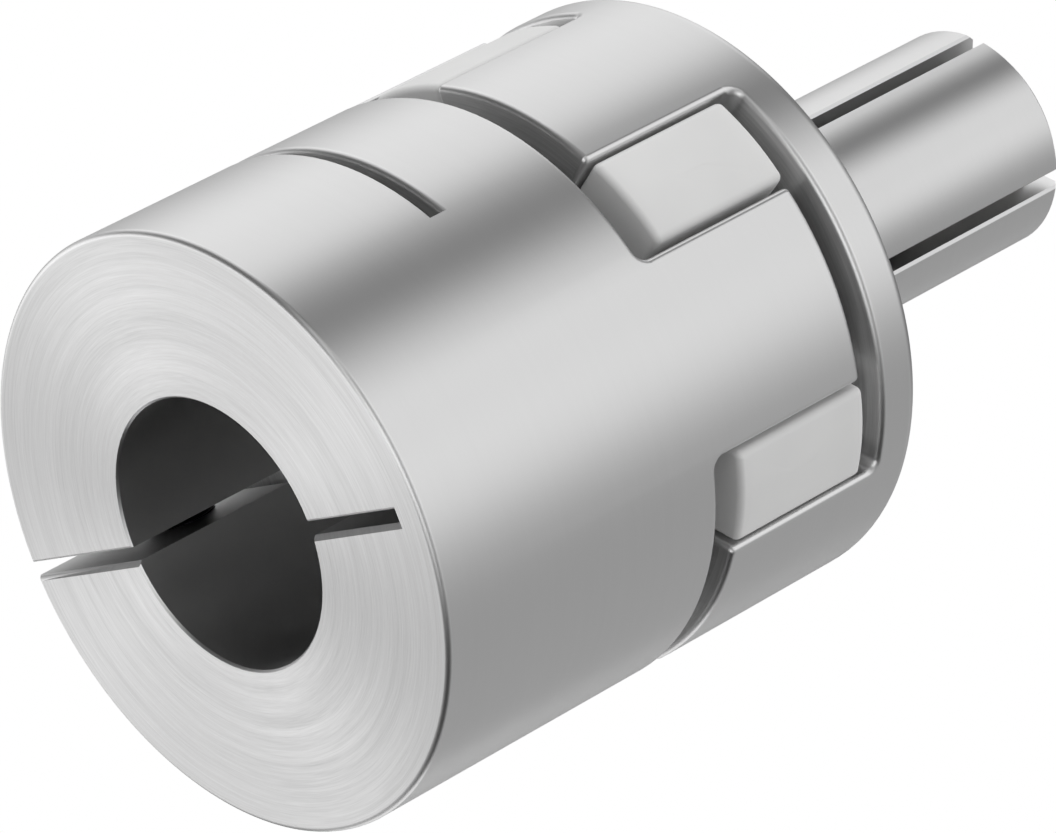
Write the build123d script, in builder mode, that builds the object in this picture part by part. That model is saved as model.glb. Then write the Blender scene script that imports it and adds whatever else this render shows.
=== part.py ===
from build123d import *
from math import cos, hypot, radians, sin, tan
import os

# An elastomer jaw coupling between two shafts. Its axis is X: the clamping hub's front face
# lies at X = 0, then come its jaws, the soft star insert, the expanding hub's jaws and flange,
# and its slotted hollow shaft, which ends at the greatest X. Z is up. All sizes are millimetres.

# Whole coupling
outer_diameter = 42.0
clamping_hub_length = 24.7
jaw_space = 15.9
flange_thickness = 3.5
clocking = 32.5

# Shaft bore and face edges of the clamping hub
bore_diameter = 19.0
bore_bevel = 0.15
front_edge_radius = 0.4

# Jaws and the pockets between them
jaws_per_hub = 3
jaw_end_gap = 1.95
jaw_ring_gap = 0.6
leg_share = 21.0
flank_crown = 0.45
pocket_corner_radius = 0.9
jaw_corner_radius = 0.6
jaw_edge_radius = 0.4

# Clamping slit and the cross cut that frees the clamping lever
slit_width = 1.0
slit_web = 2.3
slit_upper_bevel = 0.15
slit_lower_bevel = 0.35
cross_cut_start = 13.8
cross_cut_width = 1.15
cross_cut_direction = 55.0
cross_cut_floor = 3.6
cross_cut_edge_radius = 0.4

# Clamp screw, M5 with a socket head
clamp_screw_bore_wall = 3.5
clamp_screw_from_face = 8.7
clamp_screw_seat_height = 5.25
clamp_screw_length = 16.0
clamp_screw_diameter = 5.0
clamp_head_diameter = 8.5
clamp_head_height = 5.0
clamp_socket_flats = 4.0
clamp_socket_depth = 2.5

# Draw screw, M6 with a socket head
draw_screw_length = 30.0
draw_screw_diameter = 6.0
draw_head_diameter = 10.0
draw_head_height = 6.0
draw_socket_flats = 5.0
draw_socket_depth = 3.0
draw_seat_depth = 2.0

# Clearances round both screws
thread_clearance = 0.05
shank_clearance = 0.3
head_clearance = 0.35
screw_edge_bevel = 0.4

# Star insert
insert_bore_clearance = 0.1
insert_ring_wall = 1.8
insert_ring_inset = 1.0
insert_shift = 0.35
leg_clearance = 0.05
leg_recess = 0.1
leg_edge_radius = 0.5
leg_root_radius = 0.5

# Expanding hub's hollow shaft
shaft_diameter = 16.0
shaft_length = 29.4
shaft_end_bevel = 0.5
shaft_root_radius = 0.4
flange_edge_radius = 0.9
expanding_slots = 4
expanding_slot_width = 1.2
expanding_slot_clocking = 30.0
expanding_slot_bevel = 0.2
root_wall = 3.1

# Expander cone in the shaft's end
cone_length = 12.0
cone_large_diameter = 11.3
cone_half_angle = 4.0
cone_recess = 0.5
cone_run_in = 1.5
cone_clearance = 0.05
cone_edge_bevel = 0.4

# Sizes that follow from the ones above
outer_radius = outer_diameter / 2
bore_radius = bore_diameter / 2
shaft_radius = shaft_diameter / 2
clamp_screw_offset = bore_radius + clamp_screw_bore_wall + clamp_screw_diameter / 2
insert_bore_radius = bore_radius + insert_bore_clearance
ring_outer_radius = insert_bore_radius + insert_ring_wall
jaw_inner_radius = ring_outer_radius + jaw_ring_gap
legs = 2 * jaws_per_hub
jaw_length = jaw_space - jaw_end_gap
leg_width = jaw_space - 2 * jaw_end_gap
flange_front = clamping_hub_length + jaw_space
flange_back = flange_front + flange_thickness
rear_jaw_tips = flange_front - jaw_length
front_jaw_tips = clamping_hub_length + jaw_length
shaft_end = flange_back + shaft_length
draw_seat = flange_front + draw_seat_depth
cutter_overrun = 1.0

# The face plane's own axes: x runs across the coupling along the slit, towards the side where
# the slit is open, y stands square to the slit, and z is the coupling's axis.
across = Vector(0, cos(radians(clocking)), -sin(radians(clocking)))
face_plane = Plane(origin=(0, 0, 0), x_dir=across, z_dir=(1, 0, 0))
pitch = 360 / legs


def polar(radius, angle):
    """The point at that radius and angle in a sketch."""
    return (radius * cos(radians(angle)), radius * sin(radians(angle)))


def distance_from_axis(edge, share):
    """How far from the X axis a point of an edge lies, at that share of its length."""
    point = edge @ share
    return hypot(point.Y, point.Z)


def outer_edges(edges, start, end):
    """The edges that lie on the hub's outside all along, wholly between two places on the axis."""
    found = []
    for edge in edges:
        box = edge.bounding_box()
        if box.min.X < start or box.max.X > end:
            continue
        if all(distance_from_axis(edge, share) > outer_radius - 0.01 for share in (0, 0.5, 1)):
            found.append(edge)
    return found


def jaw_edges(edges, place):
    """The edges all round the jaws at one place on the axis, without those on the hub's outside."""
    found = []
    for edge in edges:
        box = edge.bounding_box()
        if abs(box.min.X - place) > 0.01 or abs(box.max.X - place) > 0.01:
            continue
        if jaw_inner_radius - 0.1 < distance_from_axis(edge, 0.5) < outer_radius - 0.1:
            found.append(edge)
    return found


def on_jaw_inside(corner):
    """Whether a corner of the pockets' sketch lies on the circle of the jaws' insides."""
    return abs(hypot(corner.X, corner.Y) - jaw_inner_radius) < 0.01


# One window takes one leg of the insert. Its two flanks are arcs that swell towards the
# neighbouring jaws, so that a crowned leg beds in hollow jaw faces.
def leg_outline(clearance, inner_radius, reach):
    """A sketch of a leg or its window, centred on the sketch's x axis.

    The flank is the arc through three points, at the hub's outside, half way and at the
    jaws' inside, all less the clearance. reach is how far the outline runs outwards.
    """
    half_angle = radians(leg_share / 2)
    middle_radius = (outer_radius + jaw_inner_radius) / 2
    outer_half = outer_radius * sin(half_angle) - clearance
    middle_half = middle_radius * sin(half_angle) + flank_crown - clearance
    inner_half = jaw_inner_radius * sin(half_angle) - clearance
    outer_x = outer_radius * cos(half_angle)
    inner_x = jaw_inner_radius * cos(half_angle)
    middle_x = middle_radius * cos(half_angle)
    with BuildSketch() as outline:
        with BuildLine():
            ThreePointArc((inner_x, inner_half), (middle_x, middle_half), (outer_x, outer_half))
            Polyline(
                (outer_x, outer_half),
                (outer_radius + cutter_overrun, outer_half),
                (outer_radius + cutter_overrun, -outer_half),
                (outer_x, -outer_half),
            )
            ThreePointArc((outer_x, -outer_half), (middle_x, -middle_half), (inner_x, -inner_half))
            Polyline(
                (inner_x, -inner_half),
                (inner_radius, -inner_half),
                (inner_radius, inner_half),
                (inner_x, inner_half),
            )
        make_face()
        Circle(reach, mode=Mode.INTERSECT)
    return outline.sketch


# One bay lies between two jaws of a hub and takes a jaw of the other hub with a leg each side.
def pocket_outline():
    """A sketch of all that is milled away between one hub's jaws, with a bay on its x axis."""
    reach = outer_radius + cutter_overrun
    leg_window = leg_outline(0, 0, reach)
    with BuildSketch() as wedge:
        with BuildLine():
            Polyline(
                (0, 0),
                polar(2 * reach, -pitch / 2),
                polar(2 * reach, pitch / 2),
                close=True,
            )
        make_face()
        Circle(reach, mode=Mode.INTERSECT)
    with BuildSketch() as outline:
        Circle(jaw_inner_radius)
        with PolarLocations(0, legs, start_angle=pitch / 2):
            add(leg_window)
        with PolarLocations(0, jaws_per_hub):
            add(wedge.sketch)
        fillet(outline.vertices().filter_by(on_jaw_inside), jaw_corner_radius)
    return outline.sketch


# Socket head cap screw, with its seat in the plane given and its head on the plane's z side
def socket_screw(label, seat, size, length, head_diameter, head_height, flats, socket_depth):
    shank_radius = size / 2 - thread_clearance
    with BuildPart() as screw:
        with BuildSketch(seat):
            Circle(head_diameter / 2)
        extrude(amount=head_height)
        with BuildSketch(seat):
            Circle(shank_radius)
        extrude(amount=-length)
        head_top = screw.faces().sort_by(Axis(seat.origin, seat.z_dir))[-1]
        shank_tip = screw.faces().sort_by(Axis(seat.origin, seat.z_dir))[0]
        chamfer(head_top.edges(), screw_edge_bevel)
        chamfer(shank_tip.edges(), screw_edge_bevel)
        with BuildSketch(seat.offset(head_height)):
            RegularPolygon(radius=flats / 2, side_count=6, major_radius=False)
        extrude(amount=-socket_depth, mode=Mode.SUBTRACT)
    screw.part.label = label
    return screw.part


# Clamping hub: a turned blank with milled pockets, slit on one side to form a clamping lever
clamp_centre = face_plane.from_local_coords(
    Vector(clamp_screw_offset, clamp_screw_seat_height, clamp_screw_from_face)
)
clamp_seat = Plane(origin=clamp_centre, x_dir=(1, 0, 0), z_dir=face_plane.y_dir)
slit_blind_end = -(outer_radius - slit_web)
slit_open_end = outer_radius + cutter_overrun
slit_section = Plane(origin=(0, 0, 0), x_dir=(1, 0, 0), z_dir=-across).offset(-slit_open_end)

pockets = pocket_outline()

with BuildPart() as clamping_hub:
    with BuildSketch(face_plane):
        Circle(outer_radius)
    extrude(amount=front_jaw_tips)

    # Pockets between the jaws, with the cutter's radius left in their corners
    with BuildSketch(face_plane.offset(clamping_hub_length)):
        add(pockets)
    extrude(amount=front_jaw_tips, mode=Mode.SUBTRACT)
    fillet(jaw_edges(clamping_hub.edges(), clamping_hub_length), pocket_corner_radius)
    fillet(
        outer_edges(clamping_hub.edges(), clamping_hub_length / 2, front_jaw_tips + 1)
        + jaw_edges(clamping_hub.edges(), front_jaw_tips),
        jaw_edge_radius,
    )
    front_edge = clamping_hub.faces().sort_by(Axis.X)[0].edges()
    fillet(front_edge, front_edge_radius)

    # Bore, with its mouth broken
    with BuildSketch(face_plane):
        Circle(bore_radius)
    extrude(amount=clamping_hub_length, mode=Mode.SUBTRACT)
    bore_mouth = clamping_hub.faces().sort_by(Axis.X)[0].edges().sort_by(SortBy.RADIUS)[0]
    chamfer(bore_mouth, bore_bevel)

    # Cross cut of a saw behind the lever, straight across at its floor
    with BuildSketch(face_plane.offset(cross_cut_start)):
        with Locations(polar(cross_cut_floor, cross_cut_direction)):
            Rectangle(
                outer_diameter,
                2 * outer_diameter,
                rotation=cross_cut_direction,
                align=(Align.MIN, Align.CENTER),
            )
    extrude(amount=cross_cut_width, mode=Mode.SUBTRACT)
    cross_cut_end = cross_cut_start + cross_cut_width
    far_edge = outer_edges(clamping_hub.edges(), cross_cut_end - 0.1, cross_cut_end + 0.1)
    fillet(far_edge, cross_cut_edge_radius)

    # Slit, open on one side and blind on the other, just below the axis, with a bevelled mouth
    with BuildSketch(slit_section):
        with BuildLine():
            Polyline(
                (0, slit_upper_bevel),
                (slit_upper_bevel, 0),
                (cross_cut_end, 0),
                (cross_cut_end, -slit_width),
                (slit_lower_bevel, -slit_width),
                (0, -slit_width - slit_lower_bevel),
                close=True,
            )
        make_face()
    extrude(amount=slit_open_end - slit_blind_end, mode=Mode.SUBTRACT)

    # Clamp screw's seat and holes: clear through the lever, tapped in the half below
    with Locations(clamp_seat.offset(outer_radius)):
        CounterBoreHole(
            radius=clamp_screw_diameter / 2 + shank_clearance,
            counter_bore_radius=clamp_head_diameter / 2 + head_clearance,
            counter_bore_depth=outer_radius,
            depth=outer_radius + clamp_screw_seat_height + slit_width / 2,
        )
        Hole(radius=clamp_screw_diameter / 2, depth=4 * outer_radius)
clamping_hub.part.label = "clamping_hub"

# Clamp screw
clamp_screw = socket_screw(
    "clamp_screw",
    clamp_seat,
    clamp_screw_diameter,
    clamp_screw_length,
    clamp_head_diameter,
    clamp_head_height,
    clamp_socket_flats,
    clamp_socket_depth,
)

# Star insert: a thin ring that carries one crowned leg in each gap between the jaws
leg_outer_radius = outer_radius - leg_recess
insert_front = clamping_hub_length + jaw_end_gap + insert_shift
leg_section = leg_outline(leg_clearance, insert_bore_radius, leg_outer_radius)
leg_root = leg_outline(leg_clearance, insert_bore_radius, jaw_inner_radius)


def on_leg_outside(edge):
    """Whether an edge lies on the cylinder of the legs' outer faces."""
    return abs(distance_from_axis(edge, 0.5) - leg_outer_radius) < 0.01


def on_ring_outside(vertex):
    """Whether a corner of the ring's sketch lies on the ring's outer circle."""
    return abs(hypot(vertex.X, vertex.Y) - ring_outer_radius) < 0.01


with BuildPart() as leg:
    with BuildSketch(face_plane.offset(insert_front)):
        add(leg_section)
        Circle(ring_outer_radius, mode=Mode.SUBTRACT)
    extrude(amount=leg_width)
    leg_sides = leg.edges().filter_by(Axis.X).filter_by(on_leg_outside)
    leg_ends = leg.faces().filter_by(Axis.X).edges()
    fillet(leg_sides + leg_ends, leg_edge_radius)

with BuildPart() as spider:
    for number in range(legs):
        add(leg.part.rotate(Axis.X, (number + 0.5) * pitch))

    # The ring, a little narrower than the legs, with rounded roots where they leave it
    with BuildSketch(face_plane.offset(insert_front + insert_ring_inset)) as ring:
        Circle(ring_outer_radius)
        with PolarLocations(0, legs, start_angle=pitch / 2):
            add(leg_root)
        fillet(ring.vertices().filter_by(on_ring_outside), leg_root_radius)
        Circle(insert_bore_radius, mode=Mode.SUBTRACT)
    extrude(amount=leg_width - 2 * insert_ring_inset)
spider.part.label = "spider"

# Expanding hub: jaws and flange in one piece with a hollow shaft, slotted into four fingers. The
# shaft's plane has its x axis half way between two slots, through the middle of a finger.
half_finger_pitch = 180 / expanding_slots
finger_direction = across.rotate(Axis.X, expanding_slot_clocking + half_finger_pitch)
shaft_plane = Plane(origin=(flange_back, 0, 0), x_dir=finger_direction, z_dir=(1, 0, 0))


def on_shaft_outside(edge):
    """Whether an edge along the axis lies on the shaft's outside."""
    return abs(distance_from_axis(edge, 0.5) - shaft_radius) < 0.01


with BuildPart() as expanding_hub:
    with BuildSketch(face_plane.offset(rear_jaw_tips)):
        Circle(outer_radius)
    extrude(amount=flange_back - rear_jaw_tips)
    with BuildSketch(face_plane.offset(rear_jaw_tips)):
        add(pockets, rotation=pitch)
    extrude(amount=jaw_length, mode=Mode.SUBTRACT)
    fillet(jaw_edges(expanding_hub.edges(), flange_front), pocket_corner_radius)
    fillet(
        outer_edges(expanding_hub.edges(), rear_jaw_tips - 1, flange_back - flange_thickness / 2)
        + jaw_edges(expanding_hub.edges(), rear_jaw_tips),
        jaw_edge_radius,
    )
    back_edge = expanding_hub.faces().sort_by(Axis.X)[-1].edges()
    fillet(back_edge, flange_edge_radius)

    # Shaft
    with BuildSketch(shaft_plane):
        Circle(shaft_radius)
    extrude(amount=shaft_length)
    chamfer(expanding_hub.faces().sort_by(Axis.X)[-1].edges(), shaft_end_bevel)
    shaft_root = expanding_hub.faces().filter_by(GeomType.PLANE).sort_by(Axis.X)[-2]
    fillet(shaft_root.edges().sort_by(SortBy.RADIUS)[0], shaft_root_radius)

    # Screw hole with a shallow seat for the head
    with Locations(Plane(origin=(flange_front, 0, 0), z_dir=(-1, 0, 0))):
        CounterBoreHole(
            radius=draw_screw_diameter / 2 + shank_clearance,
            counter_bore_radius=draw_head_diameter / 2 + head_clearance,
            counter_bore_depth=draw_seat_depth,
            depth=flange_thickness + shaft_length,
        )

    # Hollow of the shaft: straight behind the root wall, then widening with the cone's taper
    taper_length = cone_length + cone_recess + cone_run_in
    mouth_radius = cone_large_diameter / 2 + cone_recess * tan(radians(cone_half_angle))
    throat_radius = mouth_radius - taper_length * tan(radians(cone_half_angle))
    hollow_start = flange_back + root_wall
    with BuildSketch(Plane.XZ):
        with BuildLine():
            Polyline(
                (hollow_start, 0),
                (hollow_start, throat_radius),
                (shaft_end - taper_length, throat_radius),
                (shaft_end, mouth_radius),
                (shaft_end, 0),
                close=True,
            )
        make_face()
    revolve(axis=Axis.X, mode=Mode.SUBTRACT)

    # Slots that part the shaft into fingers
    with BuildSketch(shaft_plane.offset(root_wall)):
        with PolarLocations(0, expanding_slots, start_angle=half_finger_pitch):
            Rectangle(
                shaft_diameter,
                expanding_slot_width,
                align=(Align.MIN, Align.CENTER),
            )
    extrude(amount=shaft_length, mode=Mode.SUBTRACT)
    slot_edges = expanding_hub.edges().filter_by(Axis.X).filter_by(on_shaft_outside)
    chamfer(slot_edges, expanding_slot_bevel)
expanding_hub.part.label = "expanding_hub"

# Expander cone: drawn into the shaft's end, it spreads the fingers
cone_outer_end = shaft_end - cone_recess
cone_inner_end = cone_outer_end - cone_length
cone_large_radius = cone_large_diameter / 2 - cone_clearance
cone_small_radius = cone_large_radius - cone_length * tan(radians(cone_half_angle))

with BuildPart() as expander_cone:
    with BuildSketch(Plane.XZ):
        with BuildLine():
            Polyline(
                (cone_inner_end, draw_screw_diameter / 2),
                (cone_inner_end, cone_small_radius),
                (cone_outer_end, cone_large_radius),
                (cone_outer_end, draw_screw_diameter / 2),
                close=True,
            )
        make_face()
    revolve(axis=Axis.X)
    cone_ends = expander_cone.faces().filter_by(GeomType.PLANE)
    chamfer(cone_ends.edges().group_by(SortBy.RADIUS)[-1], cone_edge_bevel)
expander_cone.part.label = "expander_cone"

# Draw screw: its head seats in the flange, its thread holds the cone
draw_seat_plane = Plane(origin=(draw_seat, 0, 0), x_dir=across, z_dir=(-1, 0, 0))
draw_screw = socket_screw(
    "draw_screw",
    draw_seat_plane,
    draw_screw_diameter,
    draw_screw_length,
    draw_head_diameter,
    draw_head_height,
    draw_socket_flats,
    draw_socket_depth,
)

os.makedirs("parts", exist_ok=True)
export_step(clamping_hub.part, "parts/clamping_hub.step")
export_step(clamp_screw, "parts/clamp_screw.step")
export_step(spider.part, "parts/spider.step")
export_step(expanding_hub.part, "parts/expanding_hub.step")
export_step(expander_cone.part, "parts/expander_cone.step")
export_step(draw_screw, "parts/draw_screw.step")
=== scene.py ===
# %% [markdown]
# # Dressing an elastomer jaw coupling
# The coupling joins two shafts. A slit hub clamps round a motor shaft, a soft star passes the turning
# force on, and a slotted hollow shaft spreads inside the driven shaft. The solids come from the packed
# frame and stay where they are. This file adds the camera, the studio, the finishes, and the parts
# whose shape needs more than a plain solid: the moulded star and the two screws.

import bmesh
import bpy
import numpy as np
from mathutils import Matrix


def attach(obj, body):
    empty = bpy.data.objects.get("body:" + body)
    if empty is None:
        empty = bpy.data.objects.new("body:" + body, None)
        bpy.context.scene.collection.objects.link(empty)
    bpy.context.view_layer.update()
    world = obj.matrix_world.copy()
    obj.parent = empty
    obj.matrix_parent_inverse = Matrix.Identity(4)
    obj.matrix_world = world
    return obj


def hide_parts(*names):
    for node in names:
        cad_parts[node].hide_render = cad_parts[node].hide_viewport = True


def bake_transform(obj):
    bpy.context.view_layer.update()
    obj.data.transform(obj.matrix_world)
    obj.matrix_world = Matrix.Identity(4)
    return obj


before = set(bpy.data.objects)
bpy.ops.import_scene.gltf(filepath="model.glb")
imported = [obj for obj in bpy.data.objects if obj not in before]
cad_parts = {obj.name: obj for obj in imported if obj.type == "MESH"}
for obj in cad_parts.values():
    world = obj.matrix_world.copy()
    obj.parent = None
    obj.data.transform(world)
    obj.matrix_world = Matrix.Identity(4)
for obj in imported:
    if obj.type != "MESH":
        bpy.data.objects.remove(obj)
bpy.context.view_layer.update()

# %% [markdown]
# ## Colours
# Colours are easiest to judge as the hex codes of a colour picker, but shaders work with linear light,
# so one function turns the codes.

# %% Colours
def linear(hex_code):
    """Linear red, green, blue, alpha: c / 12.92 if c is dark, else ((c + 0.055) / 1.055) to the 2.4."""
    tone = np.array([int(hex_code[i:i + 2], 16) for i in (1, 3, 5)]) / 255
    light = np.where(tone <= 0.04045, tone / 12.92, ((tone + 0.055) / 1.055) ** 2.4)
    return (*light.tolist(), 1.0)


BLACK, WHITE = linear("#000000"), linear("#ffffff")
print("Mid grey #808080 is", round(linear("#808080")[0], 3), "in linear light")

# %% [markdown]
# ## Nodes
# A material, and the world too, is a tree of nodes. One function adds a node: its settings go in by
# name, and each input takes a number, a colour, another node's output, or a whole node, which stands
# for its first output. A Mix node has sockets of its own for each kind of value, so those for numbers
# and for colours get names here.

# %% Nodes
NUMBER_A, NUMBER_B, COLOUR_A, COLOUR_B = 2, 3, 6, 7
MIXED_COLOUR = 2


def empty_tree(owner):
    """The node tree of a material or a world, with nothing in it yet."""
    owner.use_nodes = True
    owner.node_tree.nodes.clear()
    return owner.node_tree


def add_node(tree, kind, inputs=(), **settings):
    """A new node; inputs maps a socket's name or number to its value or to the value's source."""
    node = tree.nodes.new(kind)
    for name, value in settings.items():
        setattr(node, name, value)
    for socket, value in dict(inputs).items():
        if isinstance(value, bpy.types.Node):
            value = value.outputs[0]
        if isinstance(value, bpy.types.NodeSocket):
            tree.links.new(value, node.inputs[socket])
        else:
            node.inputs[socket].default_value = value
    return node


print("A mixed colour leaves its node by output", MIXED_COLOUR)

# %% [markdown]
# ## Camera
# The coupling is seen from its clamping end, from the right and from above, through a long lens that
# keeps its sides nearly parallel. The camera's matrix has the picture's right, its up and the way back
# to the camera as columns.

# %% Camera
PICTURE_RIGHT, PICTURE_UP = np.array([0.7002, -0.7140, 0.0395]), np.array([0.3737, 0.4112, 0.8323])
CAMERA_PLACE = (-0.28070, -0.28792, 0.27750)
LENS, SENSOR = 258.35, 36  # mm

right = PICTURE_RIGHT / np.linalg.norm(PICTURE_RIGHT)
up = PICTURE_UP - right * (PICTURE_UP @ right)
up = up / np.linalg.norm(up)
back = np.cross(right, up)

camera_data = bpy.data.cameras.new("camera")
camera_data.sensor_fit = "HORIZONTAL"
camera_data.sensor_width = SENSOR
camera_data.lens = LENS
camera_data.clip_start = 0.01
camera_data.clip_end = 50
camera = bpy.data.objects.new("camera", camera_data)
facing = Matrix(np.column_stack([right, up, back]).tolist()).to_4x4()
camera.matrix_world = Matrix.Translation(CAMERA_PLACE) @ facing
bpy.context.scene.collection.objects.link(camera)
bpy.context.scene.camera = camera
bpy.context.scene.view_settings.view_transform = "Standard"
print("Camera looks along", (-back).round(3))

# %% [markdown]
# ## Lights and cards
# Bare metal has no look of its own: it shows the room. In a plain white room a polished cylinder would
# show no form, so the metal sees a white tent with long soft lights and grey cards. They stand beside
# the coupling's axis, so their brightness depends mostly on the angle round that axis: 0 is to the
# picture's right, 90 overhead, 180 to its left. One colour ramp holds the levels behind the coupling,
# which its outside mirrors, and one holds those in front, which its face mirrors.

# %% Lights and cards
BEHIND = [
    0.65, 0.50, 0.17, 0.11, 0.12, 0.36, 0.46, 0.46, 0.47, 0.46, 0.45, 0.45,
    0.66, 1.06, 1.18, 1.10, 1.20, 0.76, 0.08, 0.18, 1.15, 1.04, 1.24, 1.20,
]
BEFORE = [
    0.10, 1.50, 1.46, 1.06, 0.26, 0.34, 0.08, 0.06, 0.06, 0.08, 0.34, 1.16,
    1.50, 1.55, 1.60, 1.60, 1.50, 1.36, 0.66, 0.20, 0.08, 0.06, 0.06, 0.06,
]
BEFORE_ENDS, BEHIND_STARTS = -0.3, 0.05  # the share of a direction that runs along the axis


def set_levels(ramp, levels):
    """Puts grey n at n / the number of greys along a colour ramp, and the first again at its end."""
    stops = ramp.color_ramp.elements
    while len(stops) < len(levels) + 1:
        stops.new(1.0)
    for number, level in enumerate([*levels, levels[0]]):
        stops[number].position = number / len(levels)
        stops[number].color = (level, level, level, 1.0)


world = bpy.data.worlds.new("white_tent")
bpy.context.scene.world = world
tent = empty_tree(world)
direction = add_node(tent, "ShaderNodeTexCoord").outputs["Generated"]
parts = add_node(tent, "ShaderNodeSeparateXYZ", {0: direction})
rightward = add_node(tent, "ShaderNodeMath", {0: parts.outputs["Y"], 1: -1.0}, operation="MULTIPLY")
beside = add_node(tent, "ShaderNodeCombineXYZ", {0: rightward, 1: parts.outputs["Z"]})
angle = add_node(tent, "ShaderNodeTexGradient", {0: beside}, gradient_type="RADIAL")
behind = add_node(tent, "ShaderNodeValToRGB", {0: angle.outputs["Fac"]})
before = add_node(tent, "ShaderNodeValToRGB", {0: angle.outputs["Fac"]})
set_levels(behind, BEHIND)
set_levels(before, BEFORE)
side = add_node(
    tent, "ShaderNodeMapRange",
    {"Value": parts.outputs["X"], "From Min": BEFORE_ENDS, "From Max": BEHIND_STARTS},
    interpolation_type="SMOOTHSTEP",
)
cards = add_node(tent, "ShaderNodeMix", {0: side, COLOUR_A: before, COLOUR_B: behind}, data_type="RGBA")
print("Tent with", len(BEHIND), "levels behind the coupling and", len(BEFORE), "before it")

# %% [markdown]
# ## Dark seam and dark end
# Edges read as edges by a thin dark line. It comes from a dark seam that parts the lights in front from
# those behind, on the picture's right. The tent's far end is dark as well: the outlines mirror it,
# where the metal turns away from the camera.

# %% Dark seam and dark end
SEAM_PLACE, SEAM_CORE, SEAM_REACH, SEAM_DARKNESS = -0.40, 0.22, 0.44, 0.9
SEAM_RIGHTWARD = 0.35
END_STARTS, END_FULL, END_DARKNESS = 0.80, 0.94, 0.8

past_seam = add_node(tent, "ShaderNodeMath", {0: parts.outputs["X"], 1: -SEAM_PLACE}, operation="ADD")
from_seam = add_node(tent, "ShaderNodeMath", {0: past_seam}, operation="ABSOLUTE")
seam = add_node(
    tent, "ShaderNodeMapRange",
    {"Value": from_seam, "From Min": SEAM_CORE, "From Max": SEAM_REACH, "To Min": SEAM_DARKNESS,
     "To Max": 0.0},
    interpolation_type="SMOOTHSTEP",
)
seam_side = add_node(
    tent, "ShaderNodeMapRange", {"Value": rightward, "From Min": 0.0, "From Max": SEAM_RIGHTWARD}
)
seam_dark = add_node(tent, "ShaderNodeMath", {0: seam, 1: seam_side}, operation="MULTIPLY")
far_end = add_node(
    tent, "ShaderNodeMapRange",
    {"Value": parts.outputs["X"], "From Min": END_STARTS, "From Max": END_FULL, "To Min": 0.0,
     "To Max": END_DARKNESS},
    interpolation_type="SMOOTHSTEP",
)
dark = add_node(tent, "ShaderNodeMath", {0: seam_dark, 1: far_end}, operation="MAXIMUM")
metal_sees = add_node(
    tent, "ShaderNodeMix", {0: dark, COLOUR_A: cards.outputs[MIXED_COLOUR], COLOUR_B: BLACK},
    data_type="RGBA",
)
print("The seam darkens its core by", SEAM_DARKNESS, "and the far end gets darker by", END_DARKNESS)

# %% [markdown]
# ## Soft light and white
# Matt surfaces take the tent's soft light, a little stronger from the left, from above and from behind.
# Light Path tells which kind of ray asks. The camera itself and clear materials see the tent's plain
# white, which is what a cut-out product shot has around its object.

# %% Soft light and white
SOFT_LIGHT, STRONGER_TOWARDS = 0.76, (0.60, 0.22, 0.145)

slope = add_node(
    tent, "ShaderNodeVectorMath", {0: direction, 1: STRONGER_TOWARDS}, operation="DOT_PRODUCT"
)
softness = add_node(tent, "ShaderNodeMath", {0: slope.outputs["Value"], 1: SOFT_LIGHT}, operation="ADD")
path = add_node(tent, "ShaderNodeLightPath")
matt_or_metal = add_node(
    tent, "ShaderNodeMix",
    {0: path.outputs["Is Diffuse Ray"], COLOUR_A: metal_sees.outputs[MIXED_COLOUR], COLOUR_B: softness},
    data_type="RGBA",
)
plain = add_node(
    tent, "ShaderNodeMath",
    {0: path.outputs["Is Camera Ray"], 1: path.outputs["Is Transmission Ray"]}, operation="MAXIMUM",
)
colour = add_node(
    tent, "ShaderNodeMix", {0: plain, COLOUR_A: matt_or_metal.outputs[MIXED_COLOUR], COLOUR_B: WHITE},
    data_type="RGBA",
)
glow = add_node(tent, "ShaderNodeBackground", {"Color": colour.outputs[MIXED_COLOUR], "Strength": 1.0})
add_node(tent, "ShaderNodeOutputWorld", {"Surface": glow})
print("The tent has", len(tent.nodes), "nodes")

# %% [markdown]
# ## Surfaces from grids
# Every new piece is a grid of points, worked out with numpy as whole arrays. Blender's own cylinders
# and bevels would be quicker, but a formula says exactly where each point lies. Three helpers turn such
# a grid into a mesh: one numbers the faces of rings, one makes the object, and one closes the poles,
# turns the faces outwards and shades them smooth.

# %% Surfaces from grids
def wound(rows, columns):
    """Faces of a grid whose rows are closed rings: a point joins the next round and the next row."""
    index = np.arange(rows * columns).reshape(rows, columns)
    here, onward = index[:-1], index[1:]
    next_here, next_onward = np.roll(here, -1, axis=1), np.roll(onward, -1, axis=1)
    return np.stack([here, next_here, next_onward, onward], axis=-1).reshape(-1, 4)


def new_object(name, points, quads):
    """An object at the origin whose mesh has these points, in metres, and these four-cornered faces."""
    mesh = bpy.data.meshes.new(name)
    mesh.from_pydata(points.reshape(-1, 3).tolist(), [], quads.tolist())
    thing = bpy.data.objects.new(name, mesh)
    bpy.context.scene.collection.objects.link(thing)
    return thing


def finish_surface(thing, smooth_degrees):
    """Merges doubled points, turns faces outwards and shades all edges smooth but the sharp ones."""
    shape = bmesh.new()
    shape.from_mesh(thing.data)
    bmesh.ops.remove_doubles(shape, verts=shape.verts, dist=1e-7)
    bmesh.ops.dissolve_degenerate(shape, edges=shape.edges, dist=1e-8)
    bmesh.ops.recalc_face_normals(shape, faces=shape.faces)
    shape.to_mesh(thing.data)
    shape.free()
    thing.data.shade_smooth()
    thing.data.set_sharp_from_angle(angle=np.radians(smooth_degrees))
    print(thing.name, len(thing.data.polygons), "faces")


print("A grid of 3 rings of 4 points has", len(wound(3, 4)), "faces")

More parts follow.
